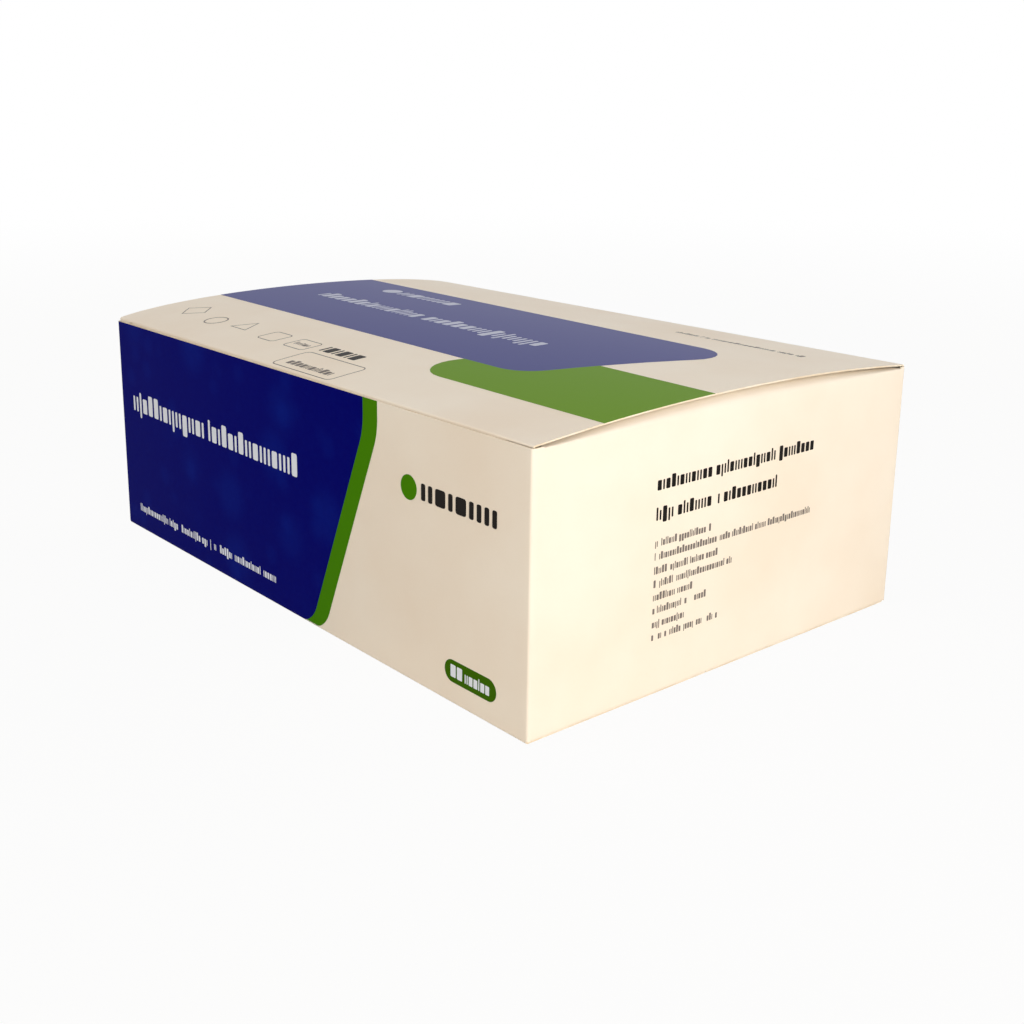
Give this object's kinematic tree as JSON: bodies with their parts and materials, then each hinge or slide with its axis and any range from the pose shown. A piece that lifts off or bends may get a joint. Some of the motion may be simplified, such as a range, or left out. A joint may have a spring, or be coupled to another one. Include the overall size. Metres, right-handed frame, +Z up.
{
  "type": "folding carton",
  "caption": "Closed rectangular folding carton with a hinged tuck lid that bows up slightly, folded dust flaps, a locked bottom and flat printed colour fields.",
  "frame": {"origin": "centre of the base, on the surface that the box stands on", "axes": "+Z up, +X along the box to the end with the printed list, -Y towards the front wall with the blue field, +Y towards the wall that the lid hinges on"},
  "size_m": [0.205, 0.14, 0.0759],
  "materials": {
    "board": "satin varnish over cream board",
    "blue_print": "satin varnish over deep blue print",
    "green_print": "satin varnish over leaf green print"
  },
  "bodies": {
    "carton": {"carton_body": "board", "front_blue_field": "blue_print", "front_green_stripe": "green_print", "front_badge": "green_print"},
    "lid": {"lid": "board", "lid_blue_field": "blue_print", "lid_green_field": "green_print"}
  },
  "joints": [
    {"name": "lid_hinge", "type": "hinge", "parent": "carton", "child": "lid", "pos_m": [0, 0.06975, 0.07055], "axis": [-1, 0, 0], "range_deg": [0, 180]}
  ]
}
